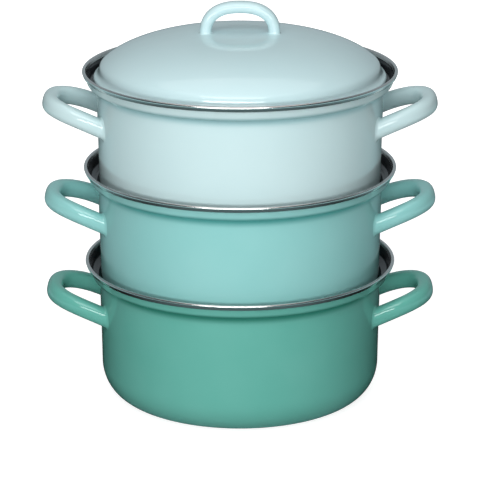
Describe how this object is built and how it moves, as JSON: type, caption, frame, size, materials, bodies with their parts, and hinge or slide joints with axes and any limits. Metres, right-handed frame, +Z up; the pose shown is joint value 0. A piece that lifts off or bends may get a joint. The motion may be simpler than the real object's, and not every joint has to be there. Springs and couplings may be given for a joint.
{
  "type": "steamer pot",
  "caption": "Stacking steamer pot in enamelled steel: closed pot, perforated inserts hung in one another's necks, domed lid with arch handle, loop side handles.",
  "frame": {"origin": "middle of the flat underside of the bottom pot, on the table", "axes": "+Z up along the common axis of the vessels, X through the side handles, -Y towards the viewer of the picture"},
  "size_m": [0.334, 0.2658, 0.3431],
  "materials": {
    "teal_enamel": "glossy vitreous enamel on steel, teal outside, black inside",
    "turquoise_enamel": "glossy vitreous enamel on steel, turquoise outside, black inside",
    "pale_enamel": "glossy vitreous enamel on steel, pale turquoise outside, black inside",
    "stainless": "polished stainless steel band"
  },
  "bodies": {
    "pot": {"bottom_pot_body": "teal_enamel", "bottom_rim_band": "stainless", "bottom_left_handle": "teal_enamel", "bottom_right_handle": "teal_enamel"},
    "middle_insert": {"middle_insert_body": "turquoise_enamel", "middle_rim_band": "stainless", "middle_left_handle": "turquoise_enamel", "middle_right_handle": "turquoise_enamel"},
    "top_insert": {"top_insert_body": "pale_enamel", "top_rim_band": "stainless", "top_left_handle": "pale_enamel", "top_right_handle": "pale_enamel"},
    "lid": {"lid_dome": "pale_enamel", "lid_handle": "pale_enamel"}
  },
  "joints": [
    {"name": "middle_lift", "type": "slide", "parent": "pot", "child": "middle_insert", "axis": [0, 0, 1], "range_m": [0, 0.12]},
    {"name": "top_lift", "type": "slide", "parent": "middle_insert", "child": "top_insert", "axis": [0, 0, 1], "range_m": [0, 0.12]},
    {"name": "lid_lift", "type": "slide", "parent": "top_insert", "child": "lid", "axis": [0, 0, 1], "range_m": [0, 0.12]}
  ]
}
